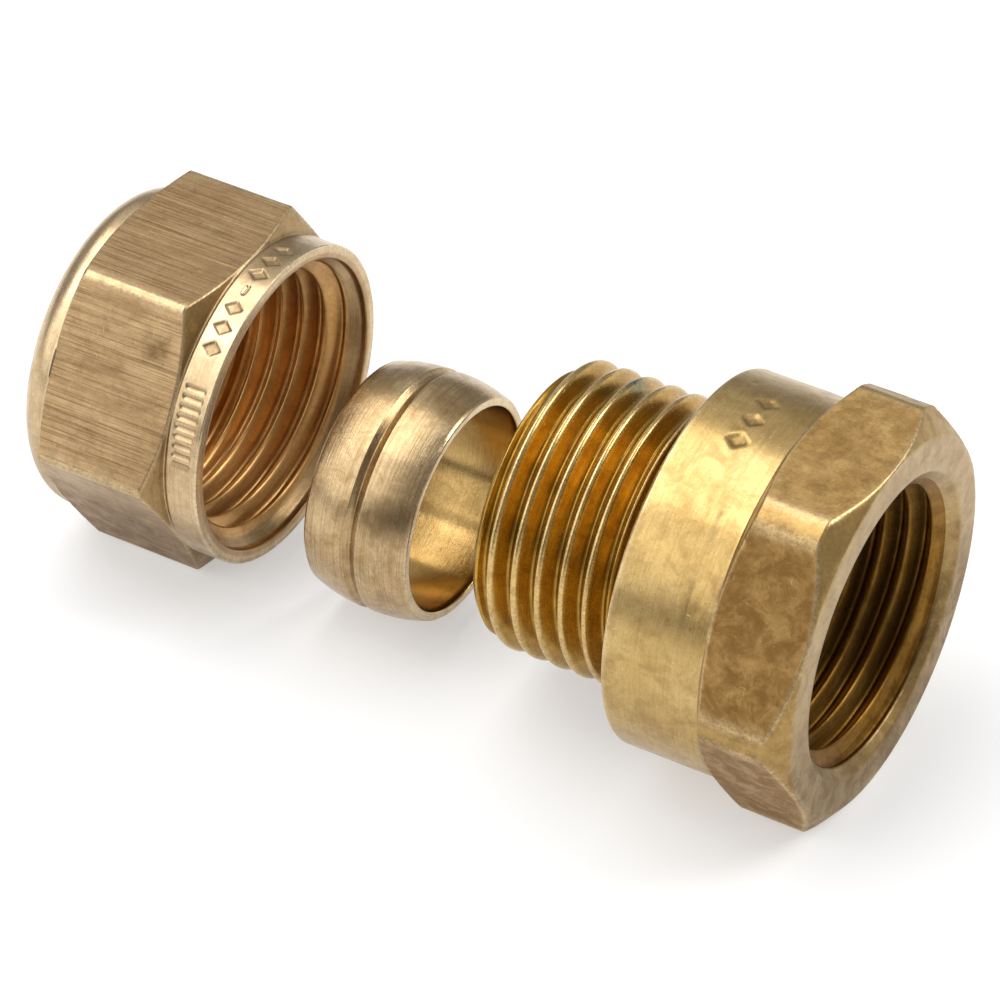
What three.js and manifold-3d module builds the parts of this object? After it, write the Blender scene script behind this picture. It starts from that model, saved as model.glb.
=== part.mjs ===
// Straight brass compression fitting, laid out in its order of assembly along +X:
// a hex compression nut, a grooved compression ring, and a hex body with an outer thread
// for the nut and an inner pipe thread. Millimetres, +Z up, standing on z = 0.
import * as THREE from "three";
import { mergeVertices } from "three/addons/utils/BufferGeometryUtils.js";
import Module from "manifold-3d";

const wasm = await Module();
wasm.setup();

// Driving dimensions

const SEGMENTS = 36; // facets round every turned surface and thread
const ARC_STEPS = 4; // facets along a rounded profile corner

// 1/2 inch parallel pipe thread, 14 threads per inch, outer and inner
const PITCH = 25.4 / 14;
const OUTER_THREAD = { major: 10.35, minor: 9.25, land: 0.28 };
const INNER_THREAD = { major: 10.45, minor: 9.33, land: 0.28 };

const BODY = {
  acrossFlats: 27,
  cornerRadius: 15.1, // the bar's rounded corners
  left: -12.1, // end face at the ring
  right: 14.2, // end face at the pipe
  collarRadius: 13.45,
  collarEdge: 0.4,
  collarEnd: 7.3,
  cornersFrom: 8.2,
  cornersTo: 12.9,
  faceRadius: 13.4,
  threadChamfer: 1.05,
  reliefRadius: 9.5, // groove between the thread and the collar
  reliefWidth: 1.2,
  seatRadius: 8.9, // mouth of the cone that closes the ring
  socketRadius: 7.65, // takes the 15 mm tube
  socketEnd: -0.8, // tube stop
  waterwayRadius: 6.5,
  portBottom: 3.2,
  portMouthRadius: 10.95,
  portChamfer: 0.65,
  portReliefRadius: 10.6,
  portReliefWidth: 1.6,
};

const NUT = {
  acrossFlats: 23.7, // a 24 mm hex, inside its tolerance
  cornerRadius: 13.58,
  length: 15,
  skirtRadius: 11.83,
  skirtLength: 2.65, // plain turned band at the mouth
  cornersFrom: 3.55,
  cornersTo: 11.85,
  shoulderFrom: 12.52, // the corners slope in to the domed end
  domeRadius: 11.9,
  domeLength: 2.1,
  endRadius: 9.6, // flat of the domed end
  mouthRadius: 10.85,
  mouthDepth: 0.55,
  leadEnd: 1.2,
  leadRadius: 10.3,
  threadEnd: 8.6,
  seatRadius: 9.0,
  seatFrom: 9.4,
  tubeRadius: 7.6,
  seatTo: 11.6,
  edge: 0.3,
};

const RING = {
  length: 8.2,
  middleRadius: 8.87,
  endRadius: 8.2,
  boreRadius: 7.55,
  boreLead: 0.12,
  edgeRound: 0.12,
  grooveWidth: 0.95,
  grooveDepth: 0.34,
};

// Places of the loose pieces: each lies on the surface in line with the next one
const NUT_MOUTH_X = -33.62;
const NUT_Y = 1.48;
const RING_FRONT_X = -18.8;
const RING_Y = 1.05;
const MIDDLE_X = (NUT_MOUTH_X - NUT.length + BODY.right) / 2; // becomes the origin

const BRASS = {
  nut: { color: 0xb08a55, roughness: 0.38, metalness: 1 },
  ring: { color: 0xc9b083, roughness: 0.32, metalness: 1 },
  body: { color: 0xb4924e, roughness: 0.34, metalness: 1 },
};

// Solids

// A closed three.js geometry as a manifold-3d solid
function solidOf(geometry) {
  const bare = geometry.index ? geometry.toNonIndexed() : geometry.clone();
  bare.deleteAttribute("normal");
  bare.deleteAttribute("uv");
  const merged = mergeVertices(bare, 1e-4);
  return new wasm.Manifold(
    new wasm.Mesh({
      numProp: 3,
      vertProperties: merged.attributes.position.array,
      triVerts: new Uint32Array(merged.index.array),
    }),
  );
}

function geometryOf(solid) {
  const mesh = solid.getMesh();
  const geometry = new THREE.BufferGeometry();
  geometry.setAttribute("position", new THREE.BufferAttribute(mesh.vertProperties, 3));
  geometry.setIndex(new THREE.BufferAttribute(mesh.triVerts, 1));
  return geometry;
}

// A solid of revolution about the X axis from [x, radius] points that run with x.
// An outline that doesn't start and end on the axis is closed on itself.
function turned(outline) {
  const points = outline.map(([x, radius]) => new THREE.Vector2(radius, x));
  const onAxis = outline[0][1] === 0;
  if (!onAxis) points.push(points[0].clone());
  return solidOf(new THREE.LatheGeometry(points, SEGMENTS).rotateZ(-Math.PI / 2));
}

// A turned solid without a bore: the outline gets its two axis points
function turnedRod(outline) {
  const first = outline[0];
  const last = outline[outline.length - 1];
  return turned([[first[0], 0], ...outline, [last[0], 0]]);
}

// A hexagonal bar about the X axis with two flats level
function hexBar(acrossFlats, from, to) {
  const shape = new THREE.Shape();
  const corner = acrossFlats / Math.sqrt(3);
  for (let k = 0; k < 6; k++) {
    const angle = (k * Math.PI) / 3;
    const point = [corner * Math.sin(angle), corner * Math.cos(angle)];
    if (k === 0) shape.moveTo(...point);
    else shape.lineTo(...point);
  }
  shape.closePath();
  const bar = new THREE.ExtrudeGeometry(shape, { depth: to - from, bevelEnabled: false });
  return solidOf(bar.rotateY(Math.PI / 2).translate(from, 0, 0));
}

// A right-hand thread as a solid rod about the X axis. Every radial section is one pitch further
// along after a turn, so the surface closes with a helical ramp and a step at each end.
function threadRod({ major, minor, land }, from, to) {
  const flank = PITCH / 2 - land;
  const profile = [
    [0, minor],
    [land, minor],
    [land + flank, major],
    [2 * land + flank, major],
  ];
  const turns = Math.ceil((to - from) / PITCH) + 2;
  const start = from - 1.5 * PITCH;
  const section = [];
  for (let turn = 0; turn < turns; turn++) {
    for (const [x, radius] of profile) section.push([start + turn * PITCH + x, radius]);
  }
  section.push([start + turns * PITCH, minor]);

  const positions = [];
  const outline = [[section[0][0], 0], ...section, [section[section.length - 1][0], 0]];
  for (let j = 0; j <= SEGMENTS; j++) {
    const angle = (j / SEGMENTS) * 2 * Math.PI;
    const advance = (j / SEGMENTS) * PITCH;
    for (const [x, radius] of outline) {
      positions.push(x + advance, radius * Math.cos(angle), radius * Math.sin(angle));
    }
  }

  const faces = [];
  const at = (j, i) => j * outline.length + i;
  const step = profile.length;
  const tip = outline.length - 1; // the axis point at the far end
  const rim = tip - 1;
  for (let j = 0; j < SEGMENTS; j++) {
    for (let i = 0; i < tip; i++) {
      faces.push(at(j, i), at(j + 1, i + 1), at(j, i + 1));
      faces.push(at(j, i), at(j + 1, i), at(j + 1, i + 1));
    }
    faces.push(at(j + 1, 0), at(j, 0), at(0, 1));
    faces.push(at(j, tip), at(j + 1, tip), at(0, rim));
  }
  for (let i = 0; i < step; i++) {
    faces.push(at(SEGMENTS, 0), at(0, i + 1), at(0, i + 2));
    faces.push(at(SEGMENTS, tip), at(SEGMENTS, rim - i), at(SEGMENTS, rim - i - 1));
  }

  const geometry = new THREE.BufferGeometry();
  geometry.setAttribute("position", new THREE.Float32BufferAttribute(positions, 3));
  geometry.setIndex(faces);
  return solidOf(geometry);
}

// Points of a quarter round that leaves [x0, r0] and reaches [x1, r1], bulging outwards
function quarterRound(x0, r0, x1, r1) {
  const points = [];
  for (let k = 0; k <= ARC_STEPS; k++) {
    const angle = (k / ARC_STEPS) * (Math.PI / 2);
    const rising = r1 > r0;
    const along = rising ? 1 - Math.cos(angle) : Math.sin(angle);
    const out = rising ? Math.sin(angle) : 1 - Math.cos(angle);
    points.push([x0 + (x1 - x0) * along, r0 + (r1 - r0) * out]);
  }
  return points;
}

// The pieces, each about its own axis, with its mouth or front end at the stated x

function fittingBody() {
  const { left, right, collarRadius, collarEnd, collarEdge, reliefRadius } = BODY;
  const reliefFrom = -BODY.reliefWidth;
  const collarRoot = 0.5; // how far the neck runs into the collar
  const aboveCrest = OUTER_THREAD.major + 0.05;

  const hexEnvelope = turnedRod([
    [collarEnd, collarRadius],
    [BODY.cornersFrom, BODY.cornerRadius],
    [BODY.cornersTo, BODY.cornerRadius],
    [right, BODY.faceRadius],
  ]);
  const hex = hexBar(BODY.acrossFlats, collarEnd - 1, right + 1).intersect(hexEnvelope);
  const collar = turnedRod([
    ...quarterRound(0, collarRadius - collarEdge, collarEdge, collarRadius),
    [collarEnd + 0.2, collarRadius],
  ]);
  const threadEnvelope = turnedRod([
    [left, OUTER_THREAD.minor],
    [left + BODY.threadChamfer, aboveCrest],
    [reliefFrom - 0.6, aboveCrest],
    [reliefFrom, reliefRadius],
    [collarRoot, reliefRadius],
  ]);
  const thread = threadRod(OUTER_THREAD, left, 0).intersect(threadEnvelope);
  const neck = turnedRod([
    [reliefFrom - 1, OUTER_THREAD.minor - 0.05],
    [reliefFrom, reliefRadius],
    [collarRoot, reliefRadius],
  ]);

  const seatDepth = (BODY.seatRadius - BODY.socketRadius) / Math.tan(Math.PI / 6);
  const reliefEnd = BODY.portBottom + BODY.portReliefWidth;
  const bore = turnedRod([
    [left - 1, BODY.seatRadius],
    [left, BODY.seatRadius],
    [left + seatDepth, BODY.socketRadius],
    [BODY.socketEnd, BODY.socketRadius],
    [BODY.socketEnd, BODY.waterwayRadius],
    [BODY.portBottom, BODY.waterwayRadius],
    [BODY.portBottom, BODY.portReliefRadius],
    [reliefEnd, BODY.portReliefRadius],
    [reliefEnd + 0.9, INNER_THREAD.minor],
    [right + 1, INNER_THREAD.minor],
  ]);
  const belowRoot = INNER_THREAD.major + 0.05;
  const portThread = threadRod(INNER_THREAD, BODY.portBottom + 1, right + 1).intersect(
    turnedRod([
      [BODY.portBottom + 1, belowRoot],
      [right + 1, belowRoot],
    ]),
  );
  const portMouth = turnedRod([
    [right - BODY.portChamfer, INNER_THREAD.major - 0.15],
    [right, BODY.portMouthRadius],
    [right + 1, BODY.portMouthRadius],
  ]);
  const outside = hex.add(collar).add(thread).add(neck);
  return outside.subtract(bore).subtract(portThread).subtract(portMouth);
}

function compressionNut() {
  const { domeRadius, skirtLength, skirtRadius, tubeRadius, edge } = NUT;
  const left = -NUT.length;
  const envelope = turnedRod([
    ...quarterRound(left, NUT.endRadius, left + NUT.domeLength, domeRadius),
    [-NUT.shoulderFrom, domeRadius],
    [-NUT.cornersTo, NUT.cornerRadius],
    [-NUT.cornersFrom, NUT.cornerRadius],
    [-skirtLength, skirtRadius],
  ]);
  const hex = hexBar(NUT.acrossFlats, left - 1, 0).intersect(envelope);
  const skirt = turnedRod([
    [-skirtLength - 0.3, skirtRadius],
    [0, skirtRadius],
  ]);
  const bore = turnedRod([
    [left - 1, tubeRadius + edge],
    [left, tubeRadius + edge],
    [left + edge, tubeRadius],
    [-NUT.seatTo, tubeRadius],
    [-NUT.seatFrom, NUT.seatRadius],
    [-NUT.seatFrom, INNER_THREAD.minor],
    [-NUT.leadEnd, INNER_THREAD.minor],
    [-NUT.leadEnd, NUT.leadRadius],
    [-NUT.mouthDepth, NUT.mouthRadius],
    [1, NUT.mouthRadius],
  ]);
  const belowRoot = INNER_THREAD.major + 0.05;
  const thread = threadRod(INNER_THREAD, -NUT.threadEnd, 0).intersect(
    turnedRod([
      [-NUT.threadEnd, INNER_THREAD.minor - 0.05],
      [-NUT.threadEnd + 0.8, belowRoot],
      [-NUT.mouthDepth, belowRoot],
    ]),
  );
  return hex.add(skirt).subtract(bore).subtract(thread);
}

function compressionRing() {
  const { length, middleRadius, endRadius, boreRadius, boreLead, edgeRound } = RING;
  const half = length / 2;
  const crown = (x) => middleRadius - (middleRadius - endRadius) * ((x + half) / half) ** 2;
  const grooveHalf = RING.grooveWidth / 2;
  const barrel = [];
  const steps = 4;
  for (let k = 0; k <= steps; k++) {
    const x = -length + edgeRound + (k / steps) * (half - grooveHalf - edgeRound);
    barrel.push([x, crown(x)]);
  }
  const grooveFloor = middleRadius - RING.grooveDepth;
  barrel.push([-half - 0.3 * RING.grooveWidth, grooveFloor]);
  barrel.push([-half + 0.1 * RING.grooveWidth, grooveFloor]);
  for (let k = 0; k <= steps; k++) {
    const x = -half + grooveHalf + (k / steps) * (half - grooveHalf - edgeRound);
    barrel.push([x, crown(x)]);
  }
  return turned([
    [-length, boreRadius + boreLead],
    [-length, endRadius - edgeRound],
    ...barrel,
    [0, endRadius - edgeRound],
    [0, boreRadius + boreLead],
    [-boreLead, boreRadius],
    [-length + boreLead, boreRadius],
  ]);
}

// The assembly

const fitting = new THREE.Group();

function place(name, solid, finish, x, y, z) {
  const mesh = new THREE.Mesh(geometryOf(solid), new THREE.MeshStandardMaterial(finish));
  mesh.name = name;
  mesh.position.set(x - MIDDLE_X, y, z);
  fitting.add(mesh);
}

place("fitting_body", fittingBody(), BRASS.body, 0, 0, BODY.acrossFlats / 2);
place("compression_nut", compressionNut(), BRASS.nut, NUT_MOUTH_X, NUT_Y, NUT.acrossFlats / 2);
place("compression_ring", compressionRing(), BRASS.ring, RING_FRONT_X, RING_Y, RING.middleRadius);

export default fitting;
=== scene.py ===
import math

import bpy
import numpy as np
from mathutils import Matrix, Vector


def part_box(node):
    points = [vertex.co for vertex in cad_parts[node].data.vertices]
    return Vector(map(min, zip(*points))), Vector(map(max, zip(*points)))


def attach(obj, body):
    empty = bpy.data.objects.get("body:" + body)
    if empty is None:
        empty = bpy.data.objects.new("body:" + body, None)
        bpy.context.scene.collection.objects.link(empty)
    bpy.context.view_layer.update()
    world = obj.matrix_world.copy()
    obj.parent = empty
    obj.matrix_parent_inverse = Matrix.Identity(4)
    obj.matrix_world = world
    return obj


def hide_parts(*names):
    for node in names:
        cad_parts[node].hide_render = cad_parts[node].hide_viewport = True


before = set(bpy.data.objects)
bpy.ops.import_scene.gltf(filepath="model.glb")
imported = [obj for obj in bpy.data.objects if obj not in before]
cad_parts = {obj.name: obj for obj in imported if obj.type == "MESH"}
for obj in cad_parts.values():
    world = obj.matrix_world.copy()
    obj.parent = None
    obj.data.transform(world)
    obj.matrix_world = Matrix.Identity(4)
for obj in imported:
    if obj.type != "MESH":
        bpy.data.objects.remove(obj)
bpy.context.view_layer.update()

MM = 0.001
PITCH = 25.4 / 14  # 1/2 inch pipe thread


# Where the pieces are: each axis is the middle of its box, with x = 0 at its own mouth or collar

def axis_of(node, end_x):
    """(x of the piece's own zero, y and z of its axis) in mm; end_x is its high end on its scale."""
    low, high = (np.array(corner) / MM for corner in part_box(node))
    middle = (low + high) / 2
    return np.array([high[0] - end_x, middle[1], middle[2]])


# Places along each piece's own axis
BODY_RIGHT = 14.2
BODY_LEFT = -12.1
COLLAR_END = 7.3
BODY_CORNERS_FROM = 8.2
BODY_CORNERS_TO = 12.9
NUT_LEFT = -15.0
NUT_CORNERS_FROM = -11.85
NUT_CORNERS_TO = -3.55
RING_LEFT = -8.2

# Widths across the flats, and radii
BODY_ACROSS_FLATS = 27.0
BODY_CORNER = 15.1
COLLAR = 13.45
FACE = 13.4  # outer edge of the flat face round the port
THREAD_ROOT = 9.22
NECK = 9.5  # between the outer thread and the collar
SOCKET = 7.65
WATERWAY = 6.5
NUT_ACROSS_FLATS = 23.7
NUT_CORNER = 13.58
NUT_SHOULDER = 11.9  # where the rounded end meets the hexagon
NUT_END = 9.6
SKIRT = 11.83
TUBE_HOLE = 7.6
INNER_THREAD_ROOT = 10.45  # of the port and of the nut
RING_MIDDLE = 8.87
RING_END = 8.2
RING_BORE = 7.56

# Thread depths, and the length of the nut's rounded end
THREAD_DEPTH = 1.13
PORT_THREAD_DEPTH = 1.1
NUT_THREAD_DEPTH = 1.12
DOME = 2.1

BODY_AT = axis_of("fitting_body", BODY_RIGHT)
NUT_AT = axis_of("compression_nut", 0.0)
RING_AT = axis_of("compression_ring", 0.0)


# Small shape functions, all in mm and radians

def smooth_min(a, b, k):
    h = np.maximum(k - np.abs(a - b), 0) / k
    return np.minimum(a, b) - h * h * k / 4


def smooth_max(a, b, k):
    return -smooth_min(-a, -b, k)


def smooth_step(low, high, value):
    t = np.clip((value - low) / (high - low), 0, 1)
    return t * t * (3 - 2 * t)


def hexagon(theta, across_flats):
    """Radius of a hexagon with two flats level."""
    sector = np.mod(theta, math.pi / 3) - math.pi / 6
    return across_flats / 2 / np.cos(sector)


def thread_height(x, theta, phase, crest, root):
    """0 at the root and 1 at the crest of a right-hand thread with rounded corners."""
    turn = np.mod(x / PITCH - theta / (2 * math.pi) - phase, 1.0)
    away = np.abs(turn - 0.5) * PITCH
    slope = PITCH / 2 - crest / 2 - root / 2
    height = (PITCH / 2 - root / 2 - away) / slope
    return smooth_max(smooth_min(height, np.ones_like(height), 0.16), np.zeros_like(height), 0.16)


def noise_wave(theta, x, seed, reach=1.0):
    """A smooth, seeded ripple over the surface, about -1 to 1."""
    rng = np.random.default_rng(seed)
    total = np.zeros(np.broadcast(theta, x).shape)
    for _ in range(10):
        turns = rng.integers(1, 9)
        along = rng.uniform(-1.2, 1.2) * reach
        total += np.sin(turns * theta + along * x + rng.uniform(0, 2 * math.pi))
    return total / 4


def angle_grid(count, peaks, width, boost, windows=()):
    """Angles once round, closer together at the peaks and inside the windows (low, high, density)."""
    fine = np.linspace(0, 2 * math.pi, 7201)
    density = np.ones_like(fine)
    for peak in peaks:
        gap = np.abs(np.angle(np.exp(1j * (fine - peak))))
        density += boost * np.exp(-((gap / width) ** 2))
    for low, high, more in windows:
        density += more * ((fine > low) & (fine < high))
    total = np.concatenate([[0], np.cumsum((density[1:] + density[:-1]) / 2)])
    return np.interp(np.arange(count) / count * total[-1], total, fine)


CORNERS = [k * math.pi / 3 for k in range(6)]  # angles of a hexagon's corners


class Outline:
    """Stations of one closed outline: x and radius at every angle, and the finish to the next."""

    def __init__(self, theta):
        self.theta = theta
        self.x = []
        self.r = []
        self.finish = []

    def line(self, x0, r0, x1, r1, count, finish):
        """Straight stations from one point towards the next, without the last point."""
        for t in np.linspace(0, 1, count, endpoint=False):
            self.add(x0 + (x1 - x0) * t, r0 + (r1 - r0) * t, finish)

    def curve(self, points, finish):
        for x, r in points:
            self.add(x, r, finish)

    def add(self, x, r, finish):
        self.x.append(np.broadcast_to(x, self.theta.shape).astype(float))
        self.r.append(np.broadcast_to(r, self.theta.shape).astype(float))
        self.finish.append(finish)

    def surface(self, xs, radius, finish):
        for x in xs:
            self.add(x, radius(x, self.theta), finish)


def arc(cx, cr, radius, start, end, count):
    """Points of an arc about (cx, cr), by angle in degrees from +x towards +r."""
    for k in range(count):
        a = math.radians(start + (end - start) * k / count)
        yield cx + radius * math.cos(a), cr + radius * math.sin(a)


def loft(name, outline, at, materials, body, node, paints, flats=None):
    """One closed mesh through the outline's stations; it stands for a CAD node and rides on its body.

    paints names the float attributes and what gives them from (x, radius, angle). flats is
    (finish, other finish, radius function): faces of the first that lie on that radius get the other.
    """
    theta = outline.theta
    x, r = np.array(outline.x), np.array(outline.r)
    rows, columns = x.shape
    points = np.stack([x + at[0], r * np.cos(theta) + at[1], r * np.sin(theta) + at[2]], axis=-1) * MM
    k, j = np.meshgrid(np.arange(rows), np.arange(columns), indexing="ij")
    k2, j2 = (k + 1) % rows, (j + 1) % columns
    quads = np.stack([k * columns + j, k * columns + j2, k2 * columns + j2, k2 * columns + j], axis=-1)
    quads = quads.reshape(-1, 4)

    order = list(materials)
    index = np.repeat([order.index(f) for f in outline.finish], columns).reshape(rows, columns)
    if flats:
        finish, other, flat_radius = flats
        level = flat_radius(theta)[None, :] - r < 0.03
        index = np.where(level & (index == order.index(finish)), order.index(other), index)

    mesh = bpy.data.meshes.new(name)
    mesh.vertices.add(rows * columns)
    mesh.vertices.foreach_set("co", points.reshape(-1))
    mesh.loops.add(quads.size)
    mesh.loops.foreach_set("vertex_index", quads.reshape(-1))
    mesh.polygons.add(len(quads))
    mesh.polygons.foreach_set("loop_start", np.arange(0, quads.size, 4))
    mesh.polygons.foreach_set("material_index", index.reshape(-1))
    mesh.update()
    mesh.validate()
    mesh.polygons.foreach_set("use_smooth", np.ones(len(quads), bool))
    angles = np.broadcast_to(theta, x.shape)
    for label, amount_at in paints.items():
        attribute = mesh.attributes.new(label, "FLOAT", "POINT")
        amount = np.broadcast_to(amount_at(x, r, angles), x.shape)
        attribute.data.foreach_set("value", amount.reshape(-1).astype(np.float32))
    for finish in order:
        mesh.materials.append(materials[finish])
    piece = bpy.data.objects.new(name, mesh)
    bpy.context.scene.collection.objects.link(piece)
    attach(piece, body)
    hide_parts(node)
    return piece


# Stamped marks: plain ticks and diamonds pressed into the surface, as strokes in mm round and along it

def stroke_depth(s, x, strokes, width):
    """1 on the middle of a stroke and 0 beside it."""
    depth = np.zeros(np.broadcast(s, x).shape)
    for s0, x0, s1, x1 in strokes:
        ds, dx = s1 - s0, x1 - x0
        t = np.clip(((s - s0) * ds + (x - x0) * dx) / (ds * ds + dx * dx), 0, 1)
        away = np.hypot(s - s0 - t * ds, x - x0 - t * dx)
        depth = np.maximum(depth, 1 - smooth_step(0.35 * width, width, away))
    return depth


def tick_row(start, step, count, low, high):
    return [(start + k * step, low, start + k * step, high) for k in range(count)]


def diamond_depth(s, x, centres, half_s, half_x):
    """1 in the middle of each small solid diamond and 0 outside it."""
    depth = np.zeros(np.broadcast(s, x).shape)
    for s0, x0 in centres:
        inside = 1 - np.abs(s - s0) / half_s - np.abs(x - x0) / half_x
        depth = np.maximum(depth, smooth_step(-0.12, 0.35, inside))
    return depth


def dents(x, theta, radius, count, span, seed, depth=0.03):
    """Small knocks at random places within the span of x."""
    rng = np.random.default_rng(seed)
    total = np.zeros(np.broadcast(x, theta).shape)
    for _ in range(count):
        x0, angle = rng.uniform(*span), rng.uniform(0, 2 * math.pi)
        size, deep = rng.uniform(0.18, 0.42), rng.uniform(0.3, 1.0)
        around = radius * np.angle(np.exp(1j * (theta - angle)))
        total += deep * np.exp(-((around / size) ** 2) - ((x - x0) / (0.7 * size)) ** 2)
    return depth * total


def spot(x, theta, radius, at_x, degrees, reach_x, reach_round):
    """A soft round patch, 1 in its middle."""
    around = radius * np.angle(np.exp(1j * (theta - math.radians(degrees))))
    return np.exp(-(((x - at_x) / reach_x) ** 2) - (around / reach_round) ** 2)


# The body

# How much darker each hexagon flat of the body is: painted shade for the light that falls on each side,
# with some oxide
SHADE_AND_OXIDE_BY_SIDE = np.array([0.6, 0.0, 1.2, 1.2, 0.3, 0.7])  # from the +Y corner on round over the top


def body_thread(x, theta):
    height = thread_height(x, theta, phase=0.32, crest=0.30, root=0.26)
    radius = THREAD_ROOT + THREAD_DEPTH * height
    start = 9.3 + (x - BODY_LEFT) * 1.0
    radius = smooth_min(radius, start, 0.15)
    fade = smooth_step(-1.75, -1.15, x)
    return radius * (1 - fade) + NECK * fade


def body_hex_envelope(x):
    """Radius of the two cones that cut the hexagon's corners, and of the corners between them."""
    back = COLLAR + (x - COLLAR_END) * (BODY_CORNER - COLLAR) / (BODY_CORNERS_FROM - COLLAR_END)
    front = FACE + (BODY_RIGHT - x) * (BODY_CORNER - FACE) / (BODY_RIGHT - BODY_CORNERS_TO)
    return np.minimum(np.minimum(back, front), BODY_CORNER)


def body_hex(x, theta):
    bar = BODY_CORNER + 0.035 * noise_wave(theta * 3, x, 12, reach=1.5)
    corner = smooth_min(hexagon(theta, BODY_ACROSS_FLATS), bar, 0.12)
    envelope = body_hex_envelope(x) + 0.02 * noise_wave(theta * 2, x, 14)
    return smooth_min(corner, envelope, 0.10) - dents(x, theta, 14, 60, (7.4, 13.8), 15)


def port_thread(x, theta):
    height = thread_height(x, theta, phase=0.1, crest=0.2, root=0.16)
    radius = INNER_THREAD_ROOT - PORT_THREAD_DEPTH * (1 - height)
    mouth = 10.3 - (13.55 - x) * 1.2
    return smooth_max(radius, mouth, 0.12)


def make_body(materials):
    theta = angle_grid(280, CORNERS, 0.055, 2.2, windows=[(1.25, 1.95, 1.2)])
    line = Outline(theta)
    marks = [(COLLAR * (1.41 + 0.16 * k), 3.75) for k in range(3)]

    def stamp(x, angles):
        return diamond_depth(COLLAR * angles, x, marks, 0.75, 0.85)

    def collar(x, angles):
        step = 0.02 * smooth_step(5.2, 5.45, x)
        worn = step + 0.16 * stamp(x, angles) + dents(x, angles, COLLAR, 60, (0.1, 7.2), 17, 0.045)
        return COLLAR - worn + 0.01 * noise_wave(angles, x, 3)

    line.line(BODY_LEFT, 8.95, BODY_LEFT, 9.28, 4, "thread")
    line.surface(np.arange(BODY_LEFT, -1.15, PITCH / 17), body_thread, "thread")
    line.line(-1.1, NECK, -0.1, NECK, 6, "thread")
    line.curve(arc(-0.12, 9.62, 0.12, 270, 360, 3), "thread")
    line.line(0, 9.62, 0, 13.2, 7, "turned")
    line.curve(arc(0.25, 13.2, 0.25, 180, 90, 5), "turned")
    line.surface(np.linspace(0.25, 7.22, 42), collar, "turned")
    line.surface(np.linspace(COLLAR_END, BODY_CORNERS_FROM, 8, endpoint=False), body_hex, "hex")
    line.surface(np.linspace(BODY_CORNERS_FROM, BODY_CORNERS_TO, 28, endpoint=False), body_hex, "hex")
    line.surface(np.linspace(BODY_CORNERS_TO, BODY_RIGHT - 0.08, 13, endpoint=False), body_hex, "hex")
    line.curve([(14.13, 13.46), (14.17, 13.40), (14.19, 13.33)], "face")
    line.line(BODY_RIGHT, 13.25, BODY_RIGHT, 11.0, 8, "face")
    line.line(14.18, 10.96, 13.55, 10.3, 7, "face")
    line.surface(np.arange(13.5, 9.0, -0.105), port_thread, "port")
    line.surface(np.arange(9.0, 4.9, -0.16), port_thread, "port")
    line.line(4.8, 10.5, 3.3, 10.5, 6, "port")
    line.line(3.2, 10.4, 3.2, 6.6, 6, "port")
    line.line(3.1, WATERWAY, -0.7, WATERWAY, 6, "port")
    line.line(-0.8, 6.6, -0.8, 7.6, 3, "socket")
    line.line(-0.9, SOCKET, -9.9, SOCKET, 14, "socket")
    line.line(-9.93, 7.66, BODY_LEFT, 8.9, 7, "socket")

    def wear(x, r, angles):
        in_hex = (x > 7.2) & (r > 13.2)
        corner = hexagon(angles, BODY_ACROSS_FLATS) - body_hex_envelope(x)
        edge = np.exp(-((corner / 0.22) ** 2)) * in_hex
        rim = np.exp(-((x / 0.3) ** 2)) * (r > 13.0)
        crest = smooth_step(10.05, 10.3, r) * (x < -1.0)
        return np.maximum.reduce([edge, rim, crest])

    def tarnish_and_shade(x, r, angles):
        side = np.floor(angles / (math.pi / 3)).astype(int) % 6
        in_hex = (x > 7.2) & (r > 13.2)
        on_flat = smooth_step(0.5, 0.1, hexagon(angles, BODY_ACROSS_FLATS) - r) * in_hex
        # Flats darkened side by side: painted shade, with some oxide
        shade_and_oxide = SHADE_AND_OXIDE_BY_SIDE[side] * on_flat
        # Painted shade in the neck between the thread and the collar
        neck_shade = np.exp(-(((x + 0.7) / 1.0) ** 2)) * (r < 10.5) * (r > 9.0)
        roots = 0.55 * smooth_step(9.55, 9.25, r) * (x < -1.0) * (r > 9.1)
        pressed = 0.8 * stamp(x, angles) * (x > 0.3) * (x < 7.2) * (r > 13)
        # Two patches of painted shade on the collar: dark reflections put into the colour
        shadowed = 0.45 * spot(x, angles, COLLAR, 3.4, 158, 4.5, 0.9)
        shadowed += 0.5 * spot(x, angles, COLLAR, 3.4, 66, 5.0, 1.4)
        shadowed *= (r > 13) * (x < 7.2)
        # Painted shade on the lower half of the front end
        underside_shade = smooth_step(0.3, -0.5, np.sin(angles)) * (x > 12.9) * (r > 10)
        return np.maximum.reduce([shade_and_oxide, neck_shade, roots, pressed, shadowed, underside_shade])

    def verdigris(x, r, angles):
        return spot(x, angles, 10.3, -7.2, 67, 0.8, 1.5) * (x < -1) * (r > 9.1)

    paints = {"wear": wear, "tarnish_and_shade": tarnish_and_shade, "verdigris": verdigris}
    return loft("body_visual", line, BODY_AT, materials, "fitting", "fitting_body",
                paints, ("hex", "flats", lambda angles: hexagon(angles, BODY_ACROSS_FLATS)))


# The nut

def nut_envelope(x):
    """Radius of the cones that cut the corners at the skirt and at the rounded end."""
    front = 11.95 + (-2.74 - x) * (NUT_CORNER - 11.95) / 0.81
    shoulder = 12.0 + (x + 12.52) * (NUT_CORNER - 12.0) / 0.67
    return np.minimum(np.minimum(front, shoulder), NUT_CORNER)


def nut_hex(x, theta):
    bar = hexagon(theta, NUT_ACROSS_FLATS) - 0.008 * (1 + noise_wave(theta * 17, x, 22, reach=0.02))
    corner = smooth_min(bar, NUT_CORNER, 0.08)
    knocks = dents(x, theta, 12.5, 40, (-12, -3.5), 25)
    return smooth_min(corner, nut_envelope(x), 0.10) - knocks


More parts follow.
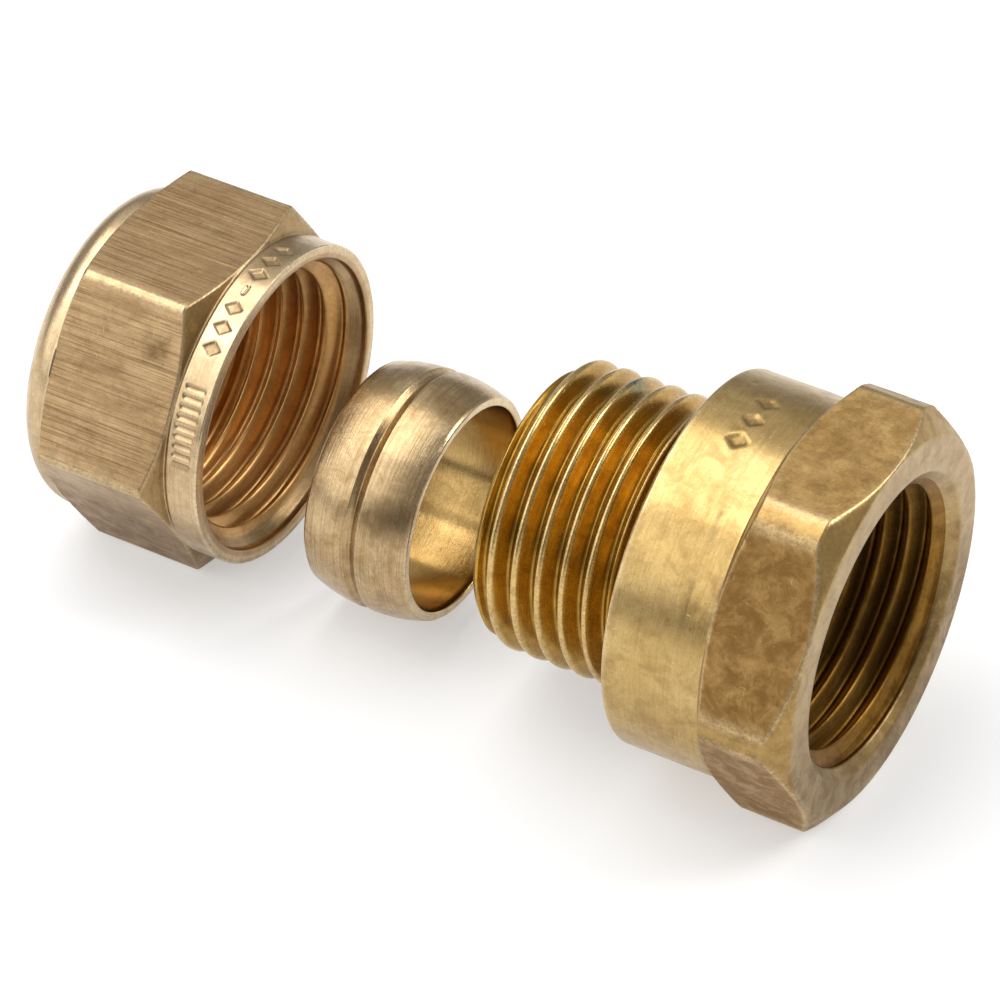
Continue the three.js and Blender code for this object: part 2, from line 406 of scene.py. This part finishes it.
def nut_thread(x, theta):
    height = thread_height(x, theta, phase=0.55, crest=0.22, root=0.16)
    radius = INNER_THREAD_ROOT - NUT_THREAD_DEPTH * (1 - height)
    mouth = 10.25 - (-1.2 - x) * 1.3
    radius = smooth_max(radius, mouth, 0.12)
    fade = smooth_step(-8.0, -8.8, x)
    return radius * (1 - fade) + 10.5 * fade


def make_nut(materials):
    theta = angle_grid(400, CORNERS, 0.05, 2.0, windows=[(1.15, 2.95, 1.6)])
    line = Outline(theta)

    def at_degrees(degrees):
        """The arc length of a place seen from the front, with 0 level and 90 on top."""
        return SKIRT * math.radians(180 - degrees)

    ticks = tick_row(at_degrees(38.5), 0.72, 5, -1.95, -0.65)
    ticks += tick_row(at_degrees(21.5), 0.72, 4, -1.95, -0.75)
    ticks += [(at_degrees(77) - 0.3, -1.3, at_degrees(77) + 0.3, -1.3)]
    diamonds = [(at_degrees(degrees), -1.3) for degrees in (53, 61, 69, 85, 93, 101)]

    def stamp(x, angles):
        around = SKIRT * angles
        return np.maximum(stroke_depth(around, x, ticks, 0.21),
                          diamond_depth(around, x, diamonds, 0.62, 0.8))

    def skirt(x, angles):
        undercut = 0.12 * np.exp(-(((x + 2.62) / 0.11) ** 2))
        knocks = dents(x, angles, SKIRT, 30, (-2.4, 0), 27, 0.02)
        ripple = 0.006 * noise_wave(angles, x, 5)
        return SKIRT - undercut - knocks - 0.14 * stamp(x, angles) + ripple

    def dome(t):
        """From the end disc at t = 0 round to the hexagon's shoulder at t = 1."""
        a = t * math.pi / 2
        return NUT_LEFT + DOME * (1 - math.cos(a)), NUT_END + (NUT_SHOULDER - NUT_END) * math.sin(a)

    line.line(NUT_LEFT, 7.9, NUT_LEFT, NUT_END, 8, "turned")
    line.curve((dome(t) for t in np.linspace(0, 1, 22)), "turned")
    line.surface(np.linspace(-12.75, -12.5, 4), lambda x, angles: NUT_SHOULDER, "turned")
    line.surface(np.linspace(-12.46, NUT_CORNERS_FROM, 9, endpoint=False), nut_hex, "hex")
    line.surface(np.linspace(NUT_CORNERS_FROM, NUT_CORNERS_TO, 36, endpoint=False), nut_hex, "hex")
    line.surface(np.linspace(NUT_CORNERS_TO, -2.76, 10), nut_hex, "hex")
    line.surface(np.linspace(-2.70, -0.12, 36), skirt, "turned")
    line.curve(arc(-0.1, SKIRT - 0.1, 0.1, 75, 0, 3), "turned")
    line.line(0, SKIRT - 0.12, 0, 10.9, 6, "face")
    line.line(-0.03, 10.85, -0.5, 10.85, 4, "face")
    line.line(-0.55, 10.83, -1.15, 10.3, 6, "face")
    line.surface(np.arange(-1.2, -8.8, -0.1), nut_thread, "thread")
    line.line(-8.85, 10.45, -9.35, 10.4, 3, "thread")
    line.line(-9.4, 10.3, -9.4, 9.05, 4, "thread")
    line.line(-9.42, 9.0, -11.58, 7.62, 6, "thread")
    line.line(-11.6, TUBE_HOLE, -14.7, TUBE_HOLE, 7, "thread")
    line.line(-14.72, 7.62, NUT_LEFT, 7.88, 3, "turned")

    def wear(x, r, angles):
        in_hex = (x < -2.6) & (r > 11.5)
        corner = hexagon(angles, NUT_ACROSS_FLATS) - nut_envelope(x)
        edge = np.exp(-((corner / 0.12) ** 2)) * in_hex
        rim = np.exp(-((x / 0.2) ** 2)) * (r > 11.3)
        return np.maximum(edge, rim)

    def tarnish_and_shade(x, r, angles):
        outside = r > 11.5
        pressed = 0.9 * stamp(x, angles) * (x > -2.5)
        seam = 0.7 * np.exp(-(((x + 2.68) / 0.13) ** 2))
        # Dark patches on the flats, and on the top of the skirt a patch of painted shade that dims the
        # highlight there
        stains_and_shade = 1.7 * spot(x, angles, 12.3, -4.9, 134, 0.75, 0.7)
        stains_and_shade += 0.7 * spot(x, angles, 12.3, -7.5, 146, 1.4, 0.6)
        stains_and_shade += 0.5 * spot(x, angles, 12.3, -8.5, 112, 1.8, 0.4)
        stains_and_shade += 0.95 * spot(x, angles, 12.0, -1.2, 80, 1.8, 3.0)
        # Painted shade in the counterbore
        counterbore_shade = 0.7 * ((x < -0.05) & (x > -0.56) & (r < 10.9) & (r > 10.8))
        # Painted shade on the underside of the nut
        underside_shade = smooth_step(-0.1, -0.5, np.sin(angles))
        grimy = np.maximum.reduce([pressed, seam, np.minimum(stains_and_shade, 1.1), underside_shade])
        return grimy * outside + counterbore_shade

    return loft("nut_visual", line, NUT_AT, materials, "nut", "compression_nut",
                {"wear": wear, "tarnish_and_shade": tarnish_and_shade},
                ("hex", "flats", lambda angles: hexagon(angles, NUT_ACROSS_FLATS)))


# The ring

def make_ring(materials):
    theta = angle_grid(320, [], 1.0, 0.0)
    line = Outline(theta)
    half = -RING_LEFT / 2
    groove_left, groove_deepest, groove_right = -4.66, -4.28, -3.66

    def crown(x):
        return RING_MIDDLE - (RING_MIDDLE - RING_END) * np.abs((x + half) / half) ** 2.3

    def groove(x, angles):
        wall_left = (x - groove_left) / (groove_deepest - groove_left)
        wall_right = (groove_right - x) / (groove_right - groove_deepest)
        return smooth_max(smooth_min(wall_left, wall_right, 0.25), 0, 0.06) + 0 * angles

    def barrel(x, angles):
        knocks = dents(x, angles, RING_MIDDLE, 24, (-8, 0), 31, 0.025)
        return crown(x) - 0.38 * groove(x, angles) - knocks + 0.01 * noise_wave(angles, x, 8)

    line.curve(arc(RING_LEFT + 0.15, RING_END - 0.18, 0.15, 180, 105, 4), "satin")
    line.surface(np.linspace(RING_LEFT + 0.15, -4.74, 30), barrel, "satin")
    line.surface(np.linspace(-4.70, -3.58, 34), barrel, "satin")
    line.surface(np.linspace(-3.48, -0.14, 30), barrel, "satin")
    line.curve(arc(-0.12, RING_END - 0.12, 0.12, 80, 0, 4), "satin")
    line.line(0, RING_END - 0.13, 0, 7.72, 4, "satin")
    line.curve(arc(-0.1, 7.68, 0.1, 0, -90, 3), "bore")
    line.line(-0.12, RING_BORE, RING_LEFT + 0.12, RING_BORE, 14, "bore")
    line.curve(arc(RING_LEFT + 0.1, 7.68, 0.1, 270, 180, 3), "bore")
    line.line(RING_LEFT, 7.7, RING_LEFT, RING_END - 0.2, 4, "satin")

    def tarnish_and_shade(x, r, angles):
        hollow = 0.45 * np.clip(groove(x, angles), 0, 1)
        # Painted shade: darker patches on the top and the front of the barrel, the front one a painted
        # dark reflection
        shade_patches = 0.95 * spot(x, angles, RING_MIDDLE, -1.9, 150, 1.5, 2.7)
        shade_patches += 0.8 * spot(x, angles, RING_MIDDLE, -1.6, 88, 2.0, 2.2)
        shade_patches += 0.5 * spot(x, angles, RING_MIDDLE, -6.6, 92, 1.2, 2.6)
        shade_patches += 0.6 * spot(x, angles, RING_MIDDLE, -3.2, 181, 0.5, 0.5)
        return np.maximum(hollow, shade_patches) * (r > 8)

    def wear(x, r, angles):
        return np.exp(-((x / 0.12) ** 2)) * (r > 7.6)

    return loft("ring_visual", line, RING_AT, materials, "ring", "compression_ring",
                {"wear": wear, "tarnish_and_shade": tarnish_and_shade})


# Materials

class Nodes:
    """Short names for building one node material in mm of object space."""

    def __init__(self, name):
        self.material = bpy.data.materials.new(name)
        self.material.use_nodes = True
        self.tree = self.material.node_tree
        self.tree.nodes.clear()
        output = self.tree.nodes.new("ShaderNodeOutputMaterial")
        self.shader = self.tree.nodes.new("ShaderNodeBsdfPrincipled")
        self.link(self.shader.outputs[0], output.inputs[0])
        where = self.tree.nodes.new("ShaderNodeTexCoord")
        scale = self.tree.nodes.new("ShaderNodeVectorMath")
        scale.operation = "SCALE"
        scale.inputs["Scale"].default_value = 1 / MM
        self.link(where.outputs["Object"], scale.inputs[0])
        self.place = scale.outputs[0]

    def link(self, a, b):
        self.tree.links.new(a, b)

    def noise(self, waves, detail, rough, shift=0.0, distortion=0.0):
        """Noise over object space with so many waves a millimetre along (x, y, z)."""
        mapping = self.tree.nodes.new("ShaderNodeMapping")
        mapping.inputs["Scale"].default_value = waves
        mapping.inputs["Location"].default_value = (shift, shift * 0.7, shift * 1.3)
        self.link(self.place, mapping.inputs[0])
        node = self.tree.nodes.new("ShaderNodeTexNoise")
        node.inputs["Scale"].default_value = 1.0
        node.inputs["Detail"].default_value = detail
        node.inputs["Roughness"].default_value = rough
        node.inputs["Distortion"].default_value = distortion
        self.link(mapping.outputs[0], node.inputs["Vector"])
        return node.outputs["Fac"]

    def ramp(self, value, stops):
        """The value through a linear ramp of (place, grey level) stops."""
        node = self.tree.nodes.new("ShaderNodeValToRGB")
        elements = node.color_ramp.elements
        while len(elements) < len(stops):
            elements.new(0.5)
        for element, (place, level) in zip(elements, stops):
            element.position = place
            element.color = (level, level, level, 1.0)
        self.link(value, node.inputs[0])
        return node.outputs[0]

    def math(self, operation, a, b, clamp=False):
        node = self.tree.nodes.new("ShaderNodeMath")
        node.operation = operation
        node.use_clamp = clamp
        for socket, value in zip(node.inputs, (a, b)):
            if isinstance(value, (int, float)):
                socket.default_value = value
            else:
                self.link(value, socket)
        return node.outputs[0]

    def mix(self, factor, a, b, blend="MIX"):
        node = self.tree.nodes.new("ShaderNodeMix")
        node.data_type = "RGBA"
        node.blend_type = blend
        for socket, value in ((node.inputs[0], factor), (node.inputs[6], a), (node.inputs[7], b)):
            if isinstance(value, (int, float)):
                socket.default_value = value
            elif isinstance(value, tuple):
                socket.default_value = (*value, 1.0)
            else:
                self.link(value, socket)
        return node.outputs[2]

    def attribute(self, name):
        node = self.tree.nodes.new("ShaderNodeAttribute")
        node.attribute_name = name
        return node.outputs["Fac"]

    def bump(self, height, distance_um, under=None):
        """A normal raised by the height's distance in thousandths of a mm, over the normal under it."""
        node = self.tree.nodes.new("ShaderNodeBump")
        node.inputs["Distance"].default_value = distance_um * 1e-6
        node.inputs["Strength"].default_value = 1.0
        self.link(height, node.inputs["Height"])
        if under is not None:
            self.link(under, node.inputs["Normal"])
        return node.outputs[0]

    def set(self, socket, value):
        target = self.shader.inputs[socket]
        if isinstance(value, (int, float)):
            target.default_value = value
        elif isinstance(value, tuple):
            target.default_value = (*value, 1.0)
        else:
            self.link(value, target)


ROUND = (9.0, 0.16, 0.16)  # waves a mm that make lines round the axis
ALONG = (0.10, 6.5, 6.5)  # lines along it
LOOSE = (0.9, 1.4, 1.4)  # and next to none


def brass(name, bright, mid, dark, lines=ROUND, line_um=6.0, streak=0.35, stain=0.35, mottled=0.0,
          spots=0.0, rough=(0.26, 0.40), worn=0.6, pale=(0.78, 0.64, 0.40), tarnish_and_shade_strength=0.85, grain=0.2,
          scratched=0.35):
    """Brass with tool lines, grime and blotches, a brown film where the tarnish attribute is set (real
    tarnish, and painted shade where the pieces put it), pale where wear is.
    """
    n = Nodes(name)
    n.set("Metallic", 1.0)
    streaks = n.noise(lines, detail=5.0, rough=0.72)
    fine = n.noise(tuple(3.1 * s for s in lines), detail=3.0, rough=0.65, shift=4.0)
    cloud = n.noise((0.16, 0.16, 0.16), detail=5.0, rough=0.6, shift=9.0)
    grime = n.noise((0.55, 0.55, 0.55), detail=6.0, rough=0.72, shift=21.0, distortion=0.5)
    speckle = n.noise((5.0, 5.0, 5.0), detail=4.0, rough=0.75, shift=43.0)
    brown = tuple(0.42 * c for c in dark)

    colour = n.mix(n.ramp(cloud, [(0.35, 0.0), (0.65, 1.0)]), mid, bright)
    dark_lines = n.math("MULTIPLY", n.ramp(streaks, [(0.36, 1.0), (0.56, 0.0)]), streak)
    colour = n.mix(dark_lines, colour, dark)
    pale_lines = n.math("MULTIPLY", n.ramp(fine, [(0.54, 0.0), (0.72, 1.0)]), 0.6 * streak)
    colour = n.mix(pale_lines, colour, pale)
    grimy = n.math("MULTIPLY", n.ramp(grime, [(0.46, 0.0), (0.66, 1.0)]), stain)
    colour = n.mix(grimy, colour, dark)
    if mottled:
        patches = n.noise((0.7, 0.7, 0.7), detail=8.0, rough=0.78, shift=33.0, distortion=0.5)
        blotches = n.math("MULTIPLY", n.ramp(patches, [(0.40, 0.0), (0.66, 1.0)]), mottled)
        colour = n.mix(blotches, colour, brown)
    if spots:
        dots = n.noise((1.1, 1.1, 1.1), detail=5.0, rough=0.65, shift=57.0)
        dotted = n.math("MULTIPLY", n.ramp(dots, [(0.63, 0.0), (0.76, 1.0)]), spots)
        colour = n.mix(dotted, colour, brown)
    # The film darkens towards brown where the attribute says: it holds real tarnish and grime, and also
    # painted shade and painted dark reflections
    tarnish_and_shade_film = n.math("MULTIPLY", n.attribute("tarnish_and_shade"), n.ramp(grime, [(0.36, 0.45), (0.6, 1.0)]))
    tarnish_and_shade_film = n.math("MULTIPLY", tarnish_and_shade_film, n.ramp(speckle, [(0.3, 0.7), (0.6, 1.0)]))
    shade_and_oxide = tuple(0.62 * c + 0.15 * d for c, d in zip(dark, mid))
    colour = n.mix(n.math("MULTIPLY", tarnish_and_shade_film, tarnish_and_shade_strength, clamp=True), colour, shade_and_oxide)
    edge = n.math("MULTIPLY", n.attribute("wear"), n.ramp(speckle, [(0.35, 0.3), (0.55, 1.0)]))
    edge = n.math("MULTIPLY", edge, n.ramp(grime, [(0.3, 1.0), (0.62, 0.55)]))
    colour = n.mix(n.math("MULTIPLY", edge, worn, clamp=True), colour, pale)
    shade = n.ramp(speckle, [(0.3, 1.0 - grain), (0.7, 1.0)])
    colour = n.mix(1.0, colour, shade, "MULTIPLY")

    hair = n.noise((1.0, 9.0, 3.0), detail=1.0, rough=0.3, shift=71.0, distortion=1.2)
    nick = n.noise((7.0, 1.1, 1.6), detail=1.0, rough=0.3, shift=83.0, distortion=1.0)
    cuts = n.math("MINIMUM", n.ramp(hair, [(0.195, 0.0), (0.225, 1.0)]),
                  n.ramp(nick, [(0.195, 0.0), (0.225, 1.0)]))
    cut_colour = n.ramp(cuts, [(0.0, scratched), (1.0, 0.0)])
    colour = n.mix(cut_colour, colour, pale)
    n.set("Base Color", colour)

    low, high = rough
    mixed = n.math("ADD", n.math("MULTIPLY", fine, 0.4), n.math("MULTIPLY", grime, 0.6))
    satin = n.ramp(mixed, [(0.35, low), (0.65, high)])
    n.set("Roughness", n.math("ADD", satin, n.math("MULTIPLY", tarnish_and_shade_film, 0.12)))

    normal = n.bump(cloud, 30.0)
    normal = n.bump(streaks, line_um, under=normal)
    normal = n.bump(fine, line_um * 0.6, under=normal)
    normal = n.bump(grime, 5.0, under=normal)
    normal = n.bump(speckle, 3.0, under=normal)
    normal = n.bump(cuts, 4.0, under=normal)
    n.set("Normal", normal)
    return n


def add_verdigris(n):
    """Green corrosion where the attribute says so, over the colour that is there."""
    socket = n.shader.inputs["Base Color"]
    under = socket.links[0].from_socket
    crust = n.noise((2.5, 2.5, 2.5), detail=5.0, rough=0.7, shift=91.0)
    amount = n.math("MULTIPLY", n.attribute("verdigris"), n.ramp(crust, [(0.35, 0.4), (0.55, 1.0)]),
                    clamp=True)
    n.set("Base Color", n.mix(amount, under, (0.085, 0.13, 0.085)))


BODY_LOOKS = {
    "thread": dict(bright=(0.56, 0.335, 0.062), mid=(0.46, 0.26, 0.038), dark=(0.22, 0.10, 0.014),
                   stain=0.45, rough=(0.20, 0.32), line_um=3.0, streak=0.3, worn=0.8,
                   pale=(0.82, 0.64, 0.34)),
    "turned": dict(bright=(0.62, 0.435, 0.18), mid=(0.51, 0.34, 0.12), dark=(0.26, 0.145, 0.04),
                   stain=0.5, rough=(0.23, 0.34), spots=0.35, streak=0.25, worn=0.8, scratched=0.5),
    "hex": dict(bright=(0.50, 0.335, 0.13), mid=(0.42, 0.265, 0.09), dark=(0.22, 0.12, 0.03),
                stain=0.5, rough=(0.30, 0.44), worn=0.85, streak=0.2, lines=LOOSE,
                pale=(0.68, 0.50, 0.26)),
    "flats": dict(bright=(0.74, 0.49, 0.19), mid=(0.64, 0.395, 0.14), dark=(0.26, 0.125, 0.03),
                  stain=0.5, lines=LOOSE, streak=0.3, rough=(0.34, 0.48), worn=0.9, mottled=0.42,
                  spots=0.55, tarnish_and_shade_strength=0.9, pale=(0.76, 0.58, 0.32)),
    "face": dict(bright=(0.52, 0.365, 0.165), mid=(0.41, 0.275, 0.115), dark=(0.22, 0.125, 0.04),
                 stain=0.45, lines=LOOSE, streak=0.25, rough=(0.28, 0.40), worn=0.5),
    # The port is given much darker brass than the rest: painted shade inside the port
    "port": dict(bright=(0.33, 0.17, 0.030), mid=(0.24, 0.115, 0.016), dark=(0.11, 0.045, 0.006),
                 stain=0.6, rough=(0.40, 0.52), streak=0.3, worn=0.0, scratched=0.0),
    "socket": dict(bright=(0.50, 0.36, 0.15), mid=(0.42, 0.29, 0.11), dark=(0.22, 0.13, 0.04)),
}
NUT_LOOKS = {
    "hex": dict(bright=(0.48, 0.33, 0.15), mid=(0.40, 0.26, 0.11), dark=(0.20, 0.115, 0.04),
                stain=0.4, rough=(0.28, 0.40), streak=0.3),
    "flats": dict(bright=(0.54, 0.37, 0.195), mid=(0.45, 0.295, 0.145), dark=(0.20, 0.11, 0.042),
                  stain=0.35, lines=ALONG, line_um=12.0, streak=0.8, rough=(0.32, 0.46), worn=0.95,
                  spots=0.5, pale=(0.74, 0.57, 0.34)),
    "turned": dict(bright=(0.72, 0.55, 0.33), mid=(0.61, 0.445, 0.25), dark=(0.32, 0.20, 0.095),
                   stain=0.4, rough=(0.22, 0.34), streak=0.35, pale=(0.86, 0.74, 0.52)),
    "face": dict(bright=(0.57, 0.385, 0.195), mid=(0.46, 0.30, 0.14), dark=(0.25, 0.145, 0.055),
                 stain=0.35, rough=(0.26, 0.38), pale=(0.86, 0.72, 0.48)),
    "thread": dict(bright=(0.72, 0.43, 0.17), mid=(0.62, 0.35, 0.12), dark=(0.30, 0.15, 0.04),
                   stain=0.4, rough=(0.30, 0.42), streak=0.25, worn=0.0, scratched=0.0),
}
RING_LOOKS = {
    "satin": dict(bright=(0.67, 0.50, 0.285), mid=(0.53, 0.365, 0.18), dark=(0.26, 0.15, 0.058),
                  stain=0.6, rough=(0.20, 0.31), line_um=9.0, streak=0.55, spots=0.5, worn=0.8,
                  pale=(0.84, 0.70, 0.46), grain=0.25, scratched=0.2),
    "bore": dict(bright=(0.50, 0.335, 0.125), mid=(0.43, 0.27, 0.09), dark=(0.26, 0.145, 0.035),
                 stain=0.3, rough=(0.13, 0.22), streak=0.25, line_um=4.0, scratched=0.0),
}


def finishes(piece, looks):
    """One material for each finish of a piece, still open for more nodes."""
    return {finish: brass(f"{piece}_{finish}", **look) for finish, look in looks.items()}


def bare(nodes):
    return {finish: n.material for finish, n in nodes.items()}


# The camera, in front of the row of pieces and above it, on the side of its pipe end

AIM = Vector(BODY_AT + np.array([-16.105, 1.168, -2.697])) * MM
AZIMUTH = math.radians(30.227)
ELEVATION = math.radians(40.165)
DISTANCE = 365.62 * MM
SENSOR_WIDTH = 36.0
FOCAL_WIDTHS = 5.294  # focal length in widths of the sensor


def place_camera():
    back = Vector((math.sin(AZIMUTH) * math.cos(ELEVATION),
                   -math.cos(AZIMUTH) * math.cos(ELEVATION),
                   math.sin(ELEVATION)))
    data = bpy.data.cameras.new("camera")
    data.sensor_width = SENSOR_WIDTH
    data.lens = FOCAL_WIDTHS * SENSOR_WIDTH
    data.clip_start = 0.01
    camera = bpy.data.objects.new("camera", data)
    camera.location = AIM + back * DISTANCE
    camera.rotation_mode = "QUATERNION"
    camera.rotation_quaternion = (-back).to_track_quat("-Z", "Y")
    bpy.context.scene.collection.objects.link(camera)
    bpy.context.scene.camera = camera


# The studio: a pale floor, white surroundings and soft lights

def soft_light(name, toward, distance, size, radiance):
    """A white area light of the given radiance, in the direction toward from the aim."""
    data = bpy.data.lights.new(name, "AREA")
    data.shape = "RECTANGLE"
    data.size, data.size_y = size
    data.energy = radiance * math.pi * size[0] * size[1]
    lamp = bpy.data.objects.new(name, data)
    direction = Vector(toward).normalized()
    lamp.location = AIM + direction * distance
    lamp.rotation_mode = "QUATERNION"
    lamp.rotation_quaternion = direction.to_track_quat("Z", "Y")
    bpy.context.scene.collection.objects.link(lamp)


def staged_sheet(name, corners, colour, glow=0.0):
    mesh = bpy.data.meshes.new(name)
    mesh.from_pydata(corners, [], [(0, 1, 2, 3)])
    material = bpy.data.materials.new(name)
    material.use_nodes = True
    paper = material.node_tree.nodes["Principled BSDF"]
    paper.inputs["Base Color"].default_value = (*colour, 1)
    paper.inputs["Roughness"].default_value = 0.9
    paper.inputs["Emission Color"].default_value = (1.0, 1.0, 1.0, 1)
    paper.inputs["Emission Strength"].default_value = glow
    mesh.materials.append(material)
    sheet = bpy.data.objects.new(name, mesh)
    bpy.context.scene.collection.objects.link(sheet)


def standing(x0, x1, y, z0, z1):
    """Corners of an upright sheet across the view."""
    return [(x0, y, z0), (x1, y, z0), (x1, y, z1), (x0, y, z1)]


def make_studio():
    world = bpy.data.worlds.new("studio")
    world.use_nodes = True
    background = world.node_tree.nodes["Background"]
    background.inputs[0].default_value = (1.0, 1.0, 1.0, 1.0)
    background.inputs[1].default_value = 0.35
    bpy.context.scene.world = world
    bpy.context.scene.view_settings.view_transform = "Standard"

    reach, low = 3.0, -0.2 * MM
    floor = [(-reach, -reach, low), (reach, -reach, low), (reach, reach, low), (-reach, reach, low)]
    staged_sheet("floor", floor, (0.62, 0.62, 0.62), glow=0.42)
    # Dark cards in front give the polished metal something dark to show
    dark = (0.06, 0.038, 0.022)
    staged_sheet("dark_card_wide", standing(-0.23, 0.15, -0.55, 0.04, 0.16), dark)
    staged_sheet("dark_card_tall", standing(-0.14, 0.15, -0.551, 0.04, 0.30), dark)

    soft_light("overhead", (-0.385, 0.02, 0.92), 0.55, (0.5, 0.42), 2.9)
    soft_light("front_fill", (-0.55, -0.74, 0.45), 0.7, (0.8, 0.5), 1.5)
    soft_light("bridge", (-0.385, -0.475, 0.791), 0.62, (0.5, 0.26), 1.15)
    soft_light("back_fill", (-0.385, 0.66, 0.645), 0.7, (0.5, 0.4), 0.4)
    soft_light("floor_fill", (0.7, 0.5, 0.8), 0.6, (0.3, 0.3), 6.5)


place_camera()
make_studio()
body_finishes = finishes("body", BODY_LOOKS)
add_verdigris(body_finishes["thread"])
make_body(bare(body_finishes))
make_nut(bare(finishes("nut", NUT_LOOKS)))
make_ring(bare(finishes("ring", RING_LOOKS)))
